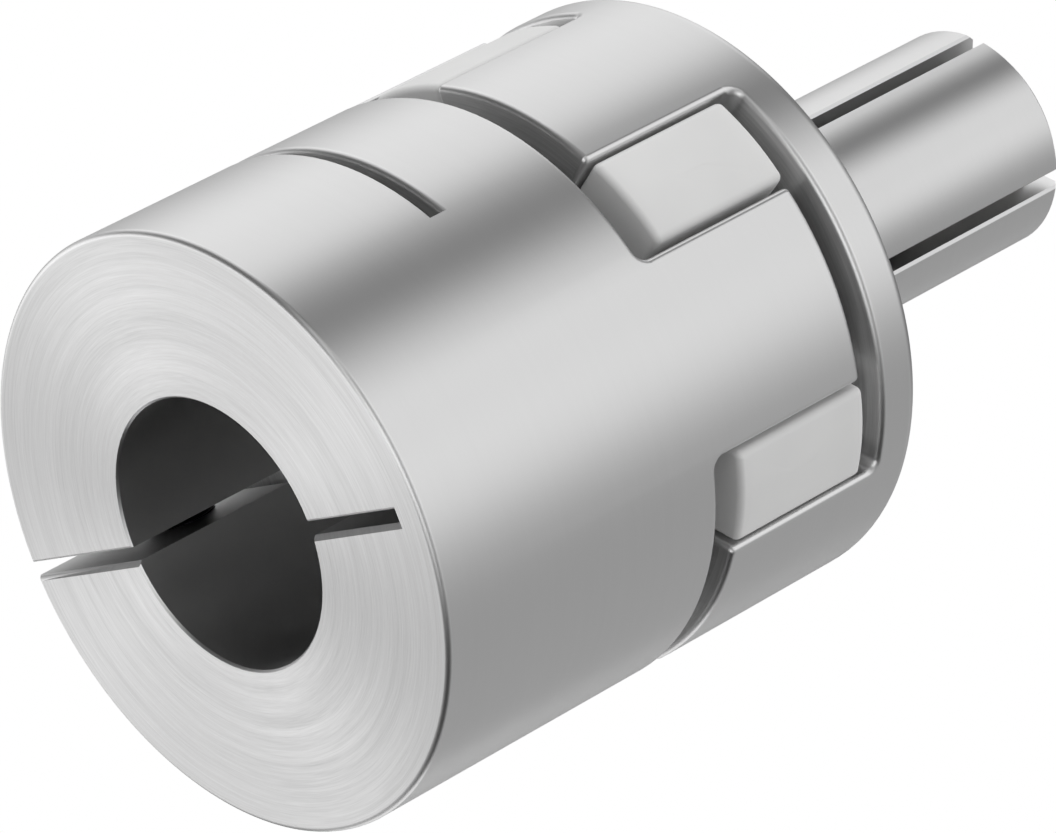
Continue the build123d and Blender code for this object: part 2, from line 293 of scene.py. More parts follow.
# %% [markdown]
# ## Floor
# A pale round floor lies well below the coupling, so that its soft shadow falls outside the picture, as
# in a cut-out product shot. A plain plane would do as well, but rings use the helpers of the pieces.

# %% Floor
FLOOR_MIDDLE, FLOOR_REACH, FLOOR_HEIGHT = 0.037, 0.12, -0.32  # m
FLOOR_RINGS, FLOOR_STEPS = 12, 96

# Point = middle + (reach * cos, reach * sin) of the turn, all at one height.
reach, around = np.meshgrid(
    np.linspace(0, FLOOR_REACH, FLOOR_RINGS),
    np.linspace(0, 2 * np.pi, FLOOR_STEPS, endpoint=False), indexing="ij",
)
floor_points = np.stack(
    [FLOOR_MIDDLE + reach * np.cos(around), reach * np.sin(around), np.full(reach.shape, FLOOR_HEIGHT)],
    axis=-1,
)
floor = new_object("floor", floor_points, wound(*reach.shape))
finish_surface(floor, 30)

# %% [markdown]
# ## Paper of the floor
# The floor is a sweep of uncoated white paper: fully matt, with no shine of its own. Where rays from
# the camera, from metal or through clear stuff reach it, a little glow lifts it to the tent's white,
# and it still darkens where the shadow is.

# %% Paper of the floor
FLOOR_LIFT = 0.32

floor_paint = bpy.data.materials.new("white_paper_sweep")
paper = empty_tree(floor_paint)
matt = add_node(paper, "ShaderNodeBsdfDiffuse", {"Color": linear("#f4f4f4")})
seen = add_node(paper, "ShaderNodeLightPath")
direct = add_node(
    paper, "ShaderNodeMath",
    {0: seen.outputs["Is Camera Ray"], 1: seen.outputs["Is Transmission Ray"]}, operation="MAXIMUM",
)
wanted = add_node(
    paper, "ShaderNodeMath", {0: direct, 1: seen.outputs["Is Glossy Ray"]}, operation="MAXIMUM"
)
lift = add_node(paper, "ShaderNodeMath", {0: wanted, 1: FLOOR_LIFT}, operation="MULTIPLY")
shine = add_node(paper, "ShaderNodeEmission", {"Color": WHITE, "Strength": lift})
both = add_node(paper, "ShaderNodeAddShader", {0: matt, 1: shine})
add_node(paper, "ShaderNodeOutputMaterial", {"Surface": both})
floor.data.materials.append(floor_paint)
print("Floor paper:", floor_paint.name, "lifted by", FLOOR_LIFT)

# %% [markdown]
# ## Grooves of the lathe
# A turning tool leaves fine grooves that run round the axis. They could be cut into the mesh, but at
# this size only their pattern shows, so a noise stands for them. The distance from the axis plus the
# place along it counts the grooves: on a face only the first changes, on a cylinder only the second.
# The grooves' own direction is the circle round the axis, which the shader needs too.

# %% Grooves of the lathe
# The tool's feed, about 0.05 mm, is too fine to show in the render. So the noise starts at 1.4 mm and
# is halved five times down to the feed, as small changes of the cut leave coarser rings on real faces.
COARSEST_GROOVE = 0.0014  # m
# The noise is read on a circle with a radius of 0.35 steps, so a full turn takes 2.2 steps: each is
# 43 mm long where the axis is 15 mm away, thirty times the coarsest groove.
ROUND_THE_AXIS = 0.35


def turned_grooves(tree):
    """A groove pattern and the grooves' direction, both measured round the coupling's axis.

    Pattern = noise at 0.35 * unit vector from the axis + X axis * (distance from axis + X) / 1.4 mm.
    Direction = X axis crossed with the unit vector from the axis, plus a little X, so never zero.
    """
    place = add_node(tree, "ShaderNodeTexCoord").outputs["Object"]
    off_axis = add_node(tree, "ShaderNodeVectorMath", {0: place, 1: (0, 1, 1)}, operation="MULTIPLY")
    radius = add_node(tree, "ShaderNodeVectorMath", {0: off_axis}, operation="LENGTH")
    outward = add_node(tree, "ShaderNodeVectorMath", {0: off_axis}, operation="NORMALIZE")
    along = add_node(tree, "ShaderNodeSeparateXYZ", {0: place}).outputs["X"]
    count = add_node(tree, "ShaderNodeMath", {0: radius.outputs["Value"], 1: along}, operation="ADD")
    fine = add_node(tree, "ShaderNodeMath", {0: count, 1: 1 / COARSEST_GROOVE}, operation="MULTIPLY")
    step = add_node(tree, "ShaderNodeCombineXYZ", {0: fine})
    mixed = add_node(
        tree, "ShaderNodeVectorMath", {0: outward, 1: (0, ROUND_THE_AXIS, ROUND_THE_AXIS), 2: step},
        operation="MULTIPLY_ADD",
    )
    grooves = add_node(
        tree, "ShaderNodeTexNoise", {"Vector": mixed, "Scale": 1.0, "Detail": 5.0, "Roughness": 0.95}
    )
    circle = add_node(
        tree, "ShaderNodeVectorMath", {0: (1, 0, 0), 1: outward}, operation="CROSS_PRODUCT"
    )
    lean = add_node(tree, "ShaderNodeVectorMath", {0: circle, 1: (0.05, 0, 0)}, operation="ADD")
    return grooves.outputs["Fac"], lean.outputs[0]


print("Grooves of up to", 1000 * COARSEST_GROOVE, "mm")

# %% [markdown]
# ## Turned aluminium
# Both hubs are bare aluminium, turned on a lathe. Seen from afar the grooves spread each reflection
# across them and keep it crisp along them, which is what the shader's anisotropy does. Close by, they
# show as fine uneven rings on the flat faces, which the tool crosses quickly, and hardly at all on the
# outside, which got a finer last cut. So the rings fade out where a surface doesn't face along the
# axis. A picture of brushed metal could be wrapped round instead, but it would show a seam. Broken
# edges are rubbed smooth and show no rings. The reamed bore is duller, and its tone is painted darker
# as shade. Marks on the faces, made with the hubs below, say where those are.

# %% Turned aluminium
RINGS_ON_OUTSIDE = 0.05  # of their strength on a face

hub_metal = bpy.data.materials.new("turned_aluminium")
tree = empty_tree(hub_metal)
grooves, circle = turned_grooves(tree)
normal = add_node(tree, "ShaderNodeTexCoord").outputs["Normal"]
facing = add_node(tree, "ShaderNodeSeparateXYZ", {0: normal})
squarely = add_node(tree, "ShaderNodeMath", {0: facing.outputs["X"]}, operation="ABSOLUTE")
showing = add_node(
    tree, "ShaderNodeMapRange",
    {"Value": squarely, "From Min": 0.5, "From Max": 0.95, "To Min": RINGS_ON_OUTSIDE, "To Max": 1.0},
)
reamed_bore_and_shade = add_node(tree, "ShaderNodeAttribute", attribute_name="reamed_bore_and_painted_shade").outputs["Fac"]
broken = add_node(tree, "ShaderNodeAttribute", attribute_name="broken_edge").outputs["Fac"]
unbroken = add_node(tree, "ShaderNodeMath", {0: 1.0, 1: broken}, operation="SUBTRACT")
shown = add_node(tree, "ShaderNodeMath", {0: showing, 1: unbroken}, operation="MULTIPLY")
rings = add_node(
    tree, "ShaderNodeMix", {0: shown, NUMBER_A: 0.5, NUMBER_B: grooves}, data_type="FLOAT"
)
print("Rings on the outside have", RINGS_ON_OUTSIDE, "of their strength on a face")

# %% [markdown]
# ## Tone and shine of the aluminium
# Aluminium is a light, nearly neutral metal. The rings change its tone, its shine and its height a
# little, and all three follow the same pattern, as they do where one tool made them.

# %% Tone and shine of the aluminium
SMOOTHEST_RING, ROUGHEST_RING, REAMED_BORE, RUBBED_EDGE = 0.33, 0.46, 0.32, 0.35  # roughness

spread = add_node(tree, "ShaderNodeMapRange", {"Value": rings, "From Min": 0.25, "From Max": 0.75})
bright = add_node(
    tree, "ShaderNodeMix", {0: spread, COLOUR_A: linear("#c6c6c6"), COLOUR_B: linear("#fcfcfc")},
    data_type="RGBA",
)
# In the bore the tone is mixed to #d6d6d6, darker than the rings: painted shade for the dark bore.
tone = add_node(
    tree, "ShaderNodeMix",
    {0: reamed_bore_and_shade, COLOUR_A: bright.outputs[MIXED_COLOUR], COLOUR_B: linear("#d6d6d6")}, data_type="RGBA",
)
turned = add_node(
    tree, "ShaderNodeMapRange",
    {"Value": rings, "From Min": 0.3, "From Max": 0.7,
     "To Min": SMOOTHEST_RING, "To Max": ROUGHEST_RING},
)
reamed = add_node(
    tree, "ShaderNodeMix", {0: reamed_bore_and_shade, NUMBER_A: turned, NUMBER_B: REAMED_BORE}, data_type="FLOAT"
)
polish = add_node(
    tree, "ShaderNodeMix", {0: broken, NUMBER_A: reamed, NUMBER_B: RUBBED_EDGE}, data_type="FLOAT"
)
relief = add_node(tree, "ShaderNodeBump", {"Height": rings, "Strength": 0.6, "Distance": 0.000005})
shader = add_node(tree, "ShaderNodeBsdfPrincipled", {
    "Base Color": tone.outputs[MIXED_COLOUR], "Roughness": polish, "Normal": relief, "Tangent": circle,
    "Metallic": 1.0, "Anisotropic": 0.8, "Anisotropic Rotation": 0.25,
})
add_node(tree, "ShaderNodeOutputMaterial", {"Surface": shader})
print("Metal for the hubs:", hub_metal.name, "with a roughness from", REAMED_BORE, "to", ROUGHEST_RING)

# %% [markdown]
# ## Marks for the metal
# The metal has to know where a hub's broken edges and its reamed bore are; the bore's mark also carries
# its painted shade. They could be painted by hand, but the shape tells them: an edge bends tightly, and
# the bore lies near the axis. Each face gets both marks as numbers, 0 or 1, which the material reads as
# attributes.

# %% Marks for the metal
TIGHT_BEND = 0.7  # change of normal per mm
SHORTEST_SIDE, LONGEST_EDGE_FACE = 0.03, 1.0  # mm
BORE_REACH, BORE_END = 9.6, 25.0  # mm, a little past the bore's wall and its bottom


def mark_faces(mesh, number, place, normals, rounded):
    """Marks for the metal, from each corner's point number, normal and whether it is on a rounding.

    Bend = change of normal / length of side, where a side counts as at least 0.03 mm long. An edge is a
    face that bends tightly or that has a corner on a rounding, but a face that is more than 1 mm long
    along the axis only touches a rounding, so that alone makes it no edge.
    """
    corner = number.reshape(-1, 3)
    side = np.linalg.norm(place[corner] - place[np.roll(corner, -1, axis=1)], axis=2)
    turned = normals.reshape(-1, 3, 3)
    change = np.linalg.norm(turned - np.roll(turned, -1, axis=1), axis=2)
    bend = (change / np.maximum(side, SHORTEST_SIDE)).max(axis=1)
    short = np.ptp(place[:, 0][corner], axis=1) < LONGEST_EDGE_FACE
    edge = (bend > TIGHT_BEND) | (rounded.reshape(-1, 3).any(axis=1) & short)
    off_axis = np.hypot(place[:, 1], place[:, 2])[corner].max(axis=1)
    # Faces in the bore: the material gives them a duller finish and a darker tone, which is painted
    # shade.
    bore = (off_axis < BORE_REACH) & (place[:, 0][corner].max(axis=1) < BORE_END)
    for title, chosen in (("broken_edge", edge), ("reamed_bore_and_painted_shade", bore)):
        mark = mesh.attributes.new(title, "FLOAT", "FACE")
        mark.data.foreach_set("value", chosen.astype(np.float32))
        print(title, int(chosen.sum()), "faces")


print("An edge bends by more than", TIGHT_BEND, "per mm")

# %% [markdown]
# ## Cuts through the roundings
# The hubs' shapes are right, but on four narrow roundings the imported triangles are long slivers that
# run straight across the curve, and shiny metal shows it. Remeshing a whole hub would blunt its sharp
# edges. So each hub becomes a copy of its solid, merged, with cuts square to the axis through those
# roundings. The solid's own normals are kept as an attribute, which the cuts carry on to new corners.

# %% Cuts through the roundings
CUTS = (15, 30, 45, 60, 75)  # degrees of a rounding's quarter circle


def cut_copy(node, name, roundings):
    """A node's mesh, merged and cut at X = centre + side * radius * sin(angle) of each rounding."""
    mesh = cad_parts[node].data.copy()
    mesh.name = name
    normals = np.zeros(3 * len(mesh.loops), np.float32)
    mesh.corner_normals.foreach_get("vector", normals)
    mesh.attributes.new("solid_normal", "FLOAT_VECTOR", "CORNER").data.foreach_set("vector", normals)
    shape = bmesh.new()
    shape.from_mesh(mesh)
    bmesh.ops.remove_doubles(shape, verts=shape.verts, dist=2e-7)
    for centre, _, radius, side in roundings:
        for x in (centre + side * radius * np.sin(np.radians(CUTS))) / 1000:
            near = [face for face in shape.faces
                    if min(v.co.x for v in face.verts) < x < max(v.co.x for v in face.verts)]
            edges = list(dict.fromkeys(edge for face in near for edge in face.edges))
            points = list(dict.fromkeys(point for face in near for point in face.verts))
            bmesh.ops.bisect_plane(
                shape, geom=near + edges + points, dist=1e-8, plane_co=(x, 0, 0), plane_no=(1, 0, 0)
            )
    bmesh.ops.triangulate(shape, faces=shape.faces)
    shape.to_mesh(mesh)
    shape.free()
    return mesh


print("Each rounding gets", len(CUTS), "cuts")

# %% [markdown]
# ## True roundings
# A rounding is a circle seen along the coupling: its centre is at some place along the axis and some
# distance from it. The new points move out to that circle and get its normals. All other points and
# normals stay as the solid has them.

# %% True roundings
NEAR_ROUNDING, TINY = 0.15, 1e-4  # mm
LEAST_LEAN = 0.03  # of a normal, along the axis and away from it


def true_rounding(place, normals, number, centre, out_to, radius, side):
    """Moves a rounding's points to its circle, turns their normals, and says which corners they are.

    A corner is on the rounding if it lies within 0.15 mm of the circle's quarter and its normal leans
    both along the axis and away from it; then point = centre + radius * (unit vector from the centre).
    """
    outward = np.hypot(place[:, 1], place[:, 2])
    away = np.stack([0 * outward, place[:, 1], place[:, 2]], axis=-1) / outward[:, None]
    offset = np.stack([place[:, 0] - centre, outward - out_to], axis=-1)
    length = np.linalg.norm(offset, axis=1)
    gap = np.abs(length - radius)
    close = (gap < NEAR_ROUNDING) & (side * offset[:, 0] > -TINY) & (offset[:, 1] > -TINY)
    lean = np.abs((normals * away[number]).sum(1))
    corners = (np.abs(normals[:, 0]) > LEAST_LEAN) & (lean > LEAST_LEAN) & close[number]
    moved = np.zeros(len(place), bool)
    moved[number[corners]] = True
    unit = offset / np.maximum(length, 1e-9)[:, None]
    true_normal = away * unit[:, 1:2]
    true_normal[:, 0] = unit[:, 0]
    outside = np.sign((normals * true_normal[number]).sum(1))[:, None]
    normals[corners] = (outside * true_normal[number])[corners]
    place[moved] = (away * (out_to + radius * unit[:, 1])[:, None])[moved]
    place[moved, 0] = (centre + radius * unit[:, 0])[moved]
    print("Rounding at", centre, "mm:", int(moved.sum()), "points moved, by up to",
          round(float(gap[moved].max()), 3), "mm")
    return corners


print("Points within", NEAR_ROUNDING, "mm of a rounding move to it")

# %% [markdown]
# ## Dressing a hub
# The copy goes through these steps in turn: cuts, true roundings, marks, its normals and its metal. It
# then stands for its solid, which the simulation keeps.

# %% Dressing a hub
def dressed_hub(node, name, body, roundings):
    """A hub's cut copy with true roundings, marks and metal, which stands for the node."""
    mesh = cut_copy(node, name, roundings)
    number = np.zeros(len(mesh.loops), np.int32)
    mesh.loops.foreach_get("vertex_index", number)
    place = np.zeros(3 * len(mesh.vertices), np.float32)
    mesh.vertices.foreach_get("co", place)
    place = 1000 * place.reshape(-1, 3).astype(float)
    normals = np.zeros(3 * len(mesh.loops), np.float32)
    mesh.attributes["solid_normal"].data.foreach_get("vector", normals)
    normals = normals.reshape(-1, 3).astype(float)
    normals /= np.linalg.norm(normals, axis=1)[:, None]
    rounded = np.any([true_rounding(place, normals, number, *one) for one in roundings], axis=0)
    mesh.vertices.foreach_set("co", (place / 1000).astype(np.float32).ravel())
    mesh.attributes.remove(mesh.attributes["solid_normal"])
    mark_faces(mesh, number, place, normals, rounded)
    mesh.normals_split_custom_set(normals.astype(np.float32).tolist())
    mesh.materials.clear()
    mesh.materials.append(hub_metal)
    hub = bpy.data.objects.new(name, mesh)
    bpy.context.scene.collection.objects.link(hub)
    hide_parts(node)
    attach(hub, body)
    print(name, len(mesh.polygons), "triangles")


print("The metal that hubs get:", hub_metal.name)

# %% [markdown]
# ## Both hubs
# The clamping hub has a rounding at the rim of its face and one at the far edge of its cross cut, and
# the expanding hub has one at the flange's back rim. The fillet at the foot of the shaft is hollow, so
# its points stay, and it gets no more than the cuts.

# %% Both hubs
# Each rounding: its centre along the axis and away from it, its radius, and its side of the centre.
CLAMPING_ROUNDINGS = ((0.4, 20.6, 0.4, -1), (15.35, 20.6, 0.4, -1))
EXPANDING_ROUNDINGS = ((43.2, 20.1, 0.9, 1), (44.5, 8.4, 0.4, -1))

dressed_hub("clamping_hub", "clamping_hub_turned", "clamp_side", CLAMPING_ROUNDINGS)
dressed_hub("expanding_hub", "expanding_hub_turned", "expanding_side", EXPANDING_ROUNDINGS)

# %% [markdown]
# ## Outline of a leg
# The star between the jaws is polyurethane, cast in a mould: a thin ring with six legs. Each leg is a
# rounded box whose two flanks swell a little towards the jaws. A box with a bevel could not follow the
# jaws, so a leg is made as one outline, a rectangle with round corners, that is carried outwards along
# the leg's middle line.

# %% Outline of a leg
CORNER_POINTS, SIDE_POINTS = 6, 7


def rounded_loop(half_width, half_height, corner):
    """Points round a rectangle with round corners, as offsets across and along, one row per outline.

    Corner point = corner's centre + corner radius * (cos, sin), and a side's points divide it evenly.
    """
    turn = np.linspace(0, np.pi / 2, CORNER_POINTS)
    arc = np.stack([np.cos(turn), np.sin(turn)], axis=-1)
    quarter = np.array([[0, -1], [1, 0]])
    corners = []
    for across, along in ((1, 1), (-1, 1), (-1, -1), (1, -1)):
        centre = np.stack([across * (half_width - corner), along * (half_height - corner)], axis=-1)
        corners.append(centre[:, None, :] + corner[:, None, None] * arc)
        arc = arc @ quarter.T
    share = np.linspace(0, 1, SIDE_POINTS + 2)[1:-1]
    loop = []
    for number in range(4):
        start, end = corners[number][:, -1:], corners[(number + 1) % 4][:, :1]
        loop += [corners[number], start + (end - start) * share[None, :, None]]
    return np.concatenate(loop, axis=1)


print("An outline has", 4 * (CORNER_POINTS + SIDE_POINTS), "points")

# %% [markdown]
# ## Width of a leg
# A jaw's flank is hollow: seen along the axis it is an arc through three points, and the leg fills the
# hollow but for a thin gap. The leg's half width at each distance from the axis follows that arc.

# %% Width of a leg
JAW_OUTSIDE, JAW_INSIDE = 21.0, 12.0  # mm from the axis
LEG_SHARE = 21.0  # degrees of the turn for each leg
CROWN, LEG_GAP = 0.45, 0.05  # mm


def flank_half_width(distance):
    """Half a leg's width at a distance from the axis: the circle through three points of the flank."""
    half = np.radians(LEG_SHARE / 2)
    radii = np.array([JAW_OUTSIDE, (JAW_OUTSIDE + JAW_INSIDE) / 2, JAW_INSIDE])
    x = radii * np.cos(half)
    y = radii * np.sin(half) + np.array([0, CROWN, 0]) - LEG_GAP
    rows = np.stack([2 * x, 2 * y, np.ones(3)], axis=-1)
    centre_x, centre_y, rest = np.linalg.solve(rows, x**2 + y**2)
    return centre_y + np.sqrt(rest + centre_x**2 + centre_y**2 - (distance - centre_x) ** 2)


print("A leg is", round(2 * float(flank_half_width(16.5)), 2), "mm wide halfway out")

# %% [markdown]
# ## Shape of a leg
# From inside the ring the outlines run out to the tip, where they first round off and then draw
# together on the cylinder of the tips. Towards the tip the flanks ease away from the jaws, which leaves
# the dark gaps that show beside the legs.

# %% Shape of a leg
LEG_START, LEG_TIP, LEG_FRONT, LEG_BACK, LEG_ROUNDING = 10.6, 20.9, 27.0, 39.0, 0.5  # mm
LEG_MIDDLE = (LEG_FRONT + LEG_BACK) / 2
BODY_ROWS, ROUNDING_ROWS, START_ROWS, TIP_ROWS = 14, 6, 4, 7
# Each easing of a flank: where it starts and ends along the leg, how far it goes, and its flank, which
# is 1 beside a clamping hub's jaw and -1 beside an expanding hub's.
LEG_EASINGS = ((13.0, 17.0, 0.5, 1), (16.5, 19.5, 0.2, -1))


def leg_outlines():
    """Distances from the axis, and the outline at each, from the closed start out to the closed tip.

    At the tip, inset = rounding * (1 - cos turn) where distance = tip - rounding * (1 - sin turn).
    """
    body = np.linspace(LEG_START, LEG_TIP - LEG_ROUNDING, BODY_ROWS)
    turn = np.linspace(0, np.pi / 2, ROUNDING_ROWS + 1)[1:]
    distance = np.concatenate([body, LEG_TIP - LEG_ROUNDING * (1 - np.sin(turn))])
    inset = np.concatenate([np.zeros(len(body)), LEG_ROUNDING * (1 - np.cos(turn))])
    height = np.full(len(distance), (LEG_BACK - LEG_FRONT) / 2) - inset
    corner = np.maximum(LEG_ROUNDING - inset, 0.02)
    loops = rounded_loop(flank_half_width(distance) - inset, height, corner)
    start_lid = loops[0][None] * np.linspace(0, 1, START_ROWS + 1)[:-1, None, None]
    tip_lid = loops[-1][None] * np.linspace(1, 0, TIP_ROWS + 1)[1:, None, None]
    starts, ends = np.full(START_ROWS, LEG_START), np.full(TIP_ROWS, LEG_TIP)
    return np.concatenate([starts, distance, ends]), np.concatenate([start_lid, loops, tip_lid])


def leg_points():
    """A leg's points in mm: distance along its middle line, sideways from it, and along the coupling.

    The tip bends to its cylinder by tip - root(tip squared - sideways squared), more the further out.
    A flank's easing follows a smooth step, 3 * s squared - 2 * s cubed, and fades to the leg's middle.
    """
    distance, loops = leg_outlines()
    across = loops[..., 0]
    sag = LEG_TIP - np.sqrt(LEG_TIP**2 - across**2)
    share = np.clip((distance - JAW_INSIDE) / (LEG_TIP - JAW_INSIDE), 0, 1)
    towards = across / np.abs(across).max(axis=1).clip(0.1)[:, None]
    for starts, ends, far, flank in LEG_EASINGS:
        step = np.clip((distance - starts) / (ends - starts), 0, 1)
        smooth_step = step**2 * (3 - 2 * step)
        across = across - flank * far * smooth_step[:, None] * np.clip(flank * towards, 0, 1)
    return distance[:, None] - sag * share[:, None], across, loops[..., 1] + LEG_MIDDLE


distance, sideways, along = leg_points()
print("A leg has", distance.size, "points")

# %% [markdown]
# ## Six legs
# The legs stand evenly round the axis, every second one mirrored, because its other flank is beside the
# clamping hub's jaw.

# %% Six legs
LEGS, CLOCKING = 6, 32.5  # the whole coupling is turned back by 32.5 degrees about its axis


def around_axis(distance, sideways, along, degrees):
    """A leg's own distances turned about the coupling's axis, as points in metres."""
    c, s = np.cos(np.radians(degrees - CLOCKING)), np.sin(np.radians(degrees - CLOCKING))
    return np.stack([along, distance * c - sideways * s, distance * s + sideways * c], axis=-1) / 1000


points, quads = [], []
for number in range(LEGS):
    flipped = 1 if number % 2 == 0 else -1
    leg = around_axis(distance, flipped * sideways, along, (number + 0.5) * 360 / LEGS)
    points.append(leg.reshape(-1, 3))
    quads.append(wound(*distance.shape) + number * distance.size)
print(LEGS, "legs with", LEGS * distance.size, "points")

# %% [markdown]
# ## Ring and star
# The ring that holds the legs has an outline of the same kind, carried once round the axis. The legs
# start inside it, and all go into one mesh, because the star is one casting.

# %% Ring and star
RING_INSIDE, RING_OUTSIDE, RING_HALF_LENGTH, RING_ROUNDING = 9.6, 11.4, 5.0, 0.3  # mm
RING_STEPS = 180

ring_half = (RING_OUTSIDE - RING_INSIDE) / 2
ring_loop = rounded_loop(*np.array([[ring_half], [RING_HALF_LENGTH], [RING_ROUNDING]]))[0]
out, ahead = (ring_loop + (RING_INSIDE + ring_half, LEG_MIDDLE)).T
turn = np.linspace(0, 2 * np.pi, RING_STEPS, endpoint=False)[:, None]
ring = np.stack([ahead + 0 * turn, out * np.cos(turn), out * np.sin(turn)], axis=-1) / 1000
# One row more than there is, whose points are the first row's again, closes the ring.
ring_faces = wound(RING_STEPS + 1, len(out)) % (RING_STEPS * len(out))
points.append(ring.reshape(-1, 3))
quads.append(ring_faces + LEGS * distance.size)
star = new_object("moulded_star", np.concatenate(points), np.concatenate(quads))
finish_surface(star, 40)
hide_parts("spider")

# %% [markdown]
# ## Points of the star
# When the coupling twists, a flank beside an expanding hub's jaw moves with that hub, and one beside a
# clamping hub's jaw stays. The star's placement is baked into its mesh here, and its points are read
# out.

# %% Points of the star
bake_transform(star)
place = np.array([v.co for v in star.data.vertices])

# %% [markdown]
# ## Moulded polyurethane
# The star is polyurethane, cast in a blasted steel mould. The mould's fine grain leaves a soft, even
# sheen with no sharp highlight, and the resin sets with faint clouds. One even colour would look
# painted on, so two noises of those sizes change the shine and the pale grey a little.

# %% Moulded polyurethane
MOULD_GRAIN, RESIN_CLOUD = 0.0003, 0.006  # m

star_stuff = bpy.data.materials.new("moulded_polyurethane")
tree = empty_tree(star_stuff)
place = add_node(tree, "ShaderNodeTexCoord").outputs["Object"]
grain = add_node(
    tree, "ShaderNodeTexNoise", {"Vector": place, "Scale": 1 / MOULD_GRAIN, "Detail": 4.0}
)
cloud = add_node(
    tree, "ShaderNodeTexNoise", {"Vector": place, "Scale": 1 / RESIN_CLOUD, "Detail": 2.0}
)
tone = add_node(
    tree, "ShaderNodeMix", {0: cloud, COLOUR_A: linear("#e2e2e2"), COLOUR_B: linear("#ededec")},
    data_type="RGBA",
)
sheen = add_node(
    tree, "ShaderNodeMapRange",
    {"Value": grain, "From Min": 0.3, "From Max": 0.7, "To Min": 0.5, "To Max": 0.62},
)
relief = add_node(tree, "ShaderNodeBump", {"Height": grain, "Strength": 0.3, "Distance": 0.00001})
shader = add_node(tree, "ShaderNodeBsdfPrincipled", {
    "Base Color": tone.outputs[MIXED_COLOUR], "Roughness": sheen, "Normal": relief,
})
add_node(tree, "ShaderNodeOutputMaterial", {"Surface": shader})
star.data.materials.append(star_stuff)
print("Grain of", 1000 * MOULD_GRAIN, "mm and clouds of", 1000 * RESIN_CLOUD, "mm on the star")

# %% [markdown]
# ## Thread of a screw
# An M5 screw closes the slit and an M6 screw draws the cone. Each is one closed surface: rings of
# points that run from the tip up the rolled thread, out under the head, up its knurled side, and down
# into the hexagonal socket. A swept helix would have to be joined to the shank and the tip, but a
# ring's radius may simply change round it, by the thread's phase.

# %% Thread of a screw
THREAD_DEPTH = 0.6134  # of the pitch, as on every metric thread
THREAD_FLAT = 0.12  # of the ridge's height, at its crest and at its root
THREAD_PLAY, TIP_BEVEL = 0.05, 0.4  # mm
RINGS_A_PITCH = 16


def rolled_thread(crest, pitch, length, thread_length, turn):
    """Heights and radii of the thread's rings, from the tip at -length upwards.

    Radius = crest - depth * (1 - ridge). The ridge rises and falls with height / pitch less the turn
    round the axis, so it climbs one pitch a turn, and it is rounded at its crest and root. The tip has
    a bevel, and a thread that ends below the head fades out over its last pitch.
    """
    steps = round(thread_length / pitch * RINGS_A_PITCH)
    heights = np.linspace(-length, -length + thread_length, steps + 1)
    wave = 1 - np.abs(2 * np.mod(heights[:, None] / pitch - turn / (2 * np.pi), 1) - 1)
    ridge = np.clip((wave - THREAD_FLAT) / (1 - 2 * THREAD_FLAT), 0, 1)
    ridge = 0.5 * ridge + 0.5 * ridge**2 * (3 - 2 * ridge)
    fade = np.clip((-length + thread_length - heights) / pitch, 0, 1)
    if thread_length > length - 0.5:
        fade = np.ones(len(heights))
    bevel = np.clip(TIP_BEVEL - (heights + length), 0, TIP_BEVEL)
    radii = crest - THREAD_DEPTH * pitch * (1 - ridge) * fade[:, None]
    return np.tile(heights[:, None], len(turn)), np.minimum(radii, (crest - bevel)[:, None])


print("A thread with a pitch of 1 mm is", THREAD_DEPTH, "mm deep")

# %% [markdown]
# ## Head of a screw
# The head is a cylinder with a knurled side, a rounded top edge and a socket. Where it is round, a
# profile of heights and radii gives its rings. Round the knurl the radius dips between the teeth, and
# round the socket it follows a hexagon's sides.

# %% Head of a screw
TOP_EDGE, NOTCH = 0.6, 0.11  # mm


def plain_rings(profile, columns):
    """Circles at a profile's heights and radii, as one row per ring."""
    heights, radii = np.array(profile, float).T
    return np.tile(heights[:, None], columns), np.tile(radii[:, None], columns)


def knurled_rings(head, height, teeth):
    """The head's side: radius = half the head - notch * how deep that quarter of a tooth lies."""
    heights = np.linspace(0.3, height - TOP_EDGE - 0.35, 10)
    radii = np.tile(head / 2 - NOTCH * np.array([0.0, 0.55, 1.0, 0.55]), (len(heights), teeth))
    return np.tile(heights[:, None], 4 * teeth), radii


def rounded_top(head, height, mouth):
    """Profile from the knurl to the socket's mouth, over an edge that is a quarter of a circle."""
    bend = np.linspace(0, np.pi / 2, 7)
    down, inwards = TOP_EDGE * (1 - np.sin(bend)), TOP_EDGE * (1 - np.cos(bend))
    over_edge = zip(height - down, head / 2 - 0.05 - inwards)
    return [
        (height - TOP_EDGE - 0.22, head / 2 - NOTCH), (height - TOP_EDGE - 0.1, head / 2 - 0.05),
        *over_edge, (height, (head / 2 + mouth) / 2), (height, mouth + 0.08), (height - 0.04, mouth),
    ]


def socket_rings(height, flats, depth, turn):
    """The socket's walls and floor: radius = half the flats / cos(angle to a side's middle)."""
    hexagon = flats / 2 / np.cos(np.mod(turn, np.pi / 3) - np.pi / 6)
    share = np.array([1.0, 1.0, 1.0, 1.0, 0.66, 0.33, 0.0])
    walls = height - np.array([0.22, 0.5, 0.6 * depth, depth - 0.25])
    heights = np.concatenate([walls, height - depth + 0.25 * share[4:]])
    return np.tile(heights[:, None], len(turn)), share[:, None] * hexagon


print("The socket has", socket_rings(6.0, 5.0, 3.0, np.zeros(1))[0].size, "rings")

# %% [markdown]
# ## Surface of a screw
# Each screw is worked out in its own axes, with its seat at height 0, its head above and its tip below.
# Its sections follow each other as rings with the same number of points, so they join into one grid.

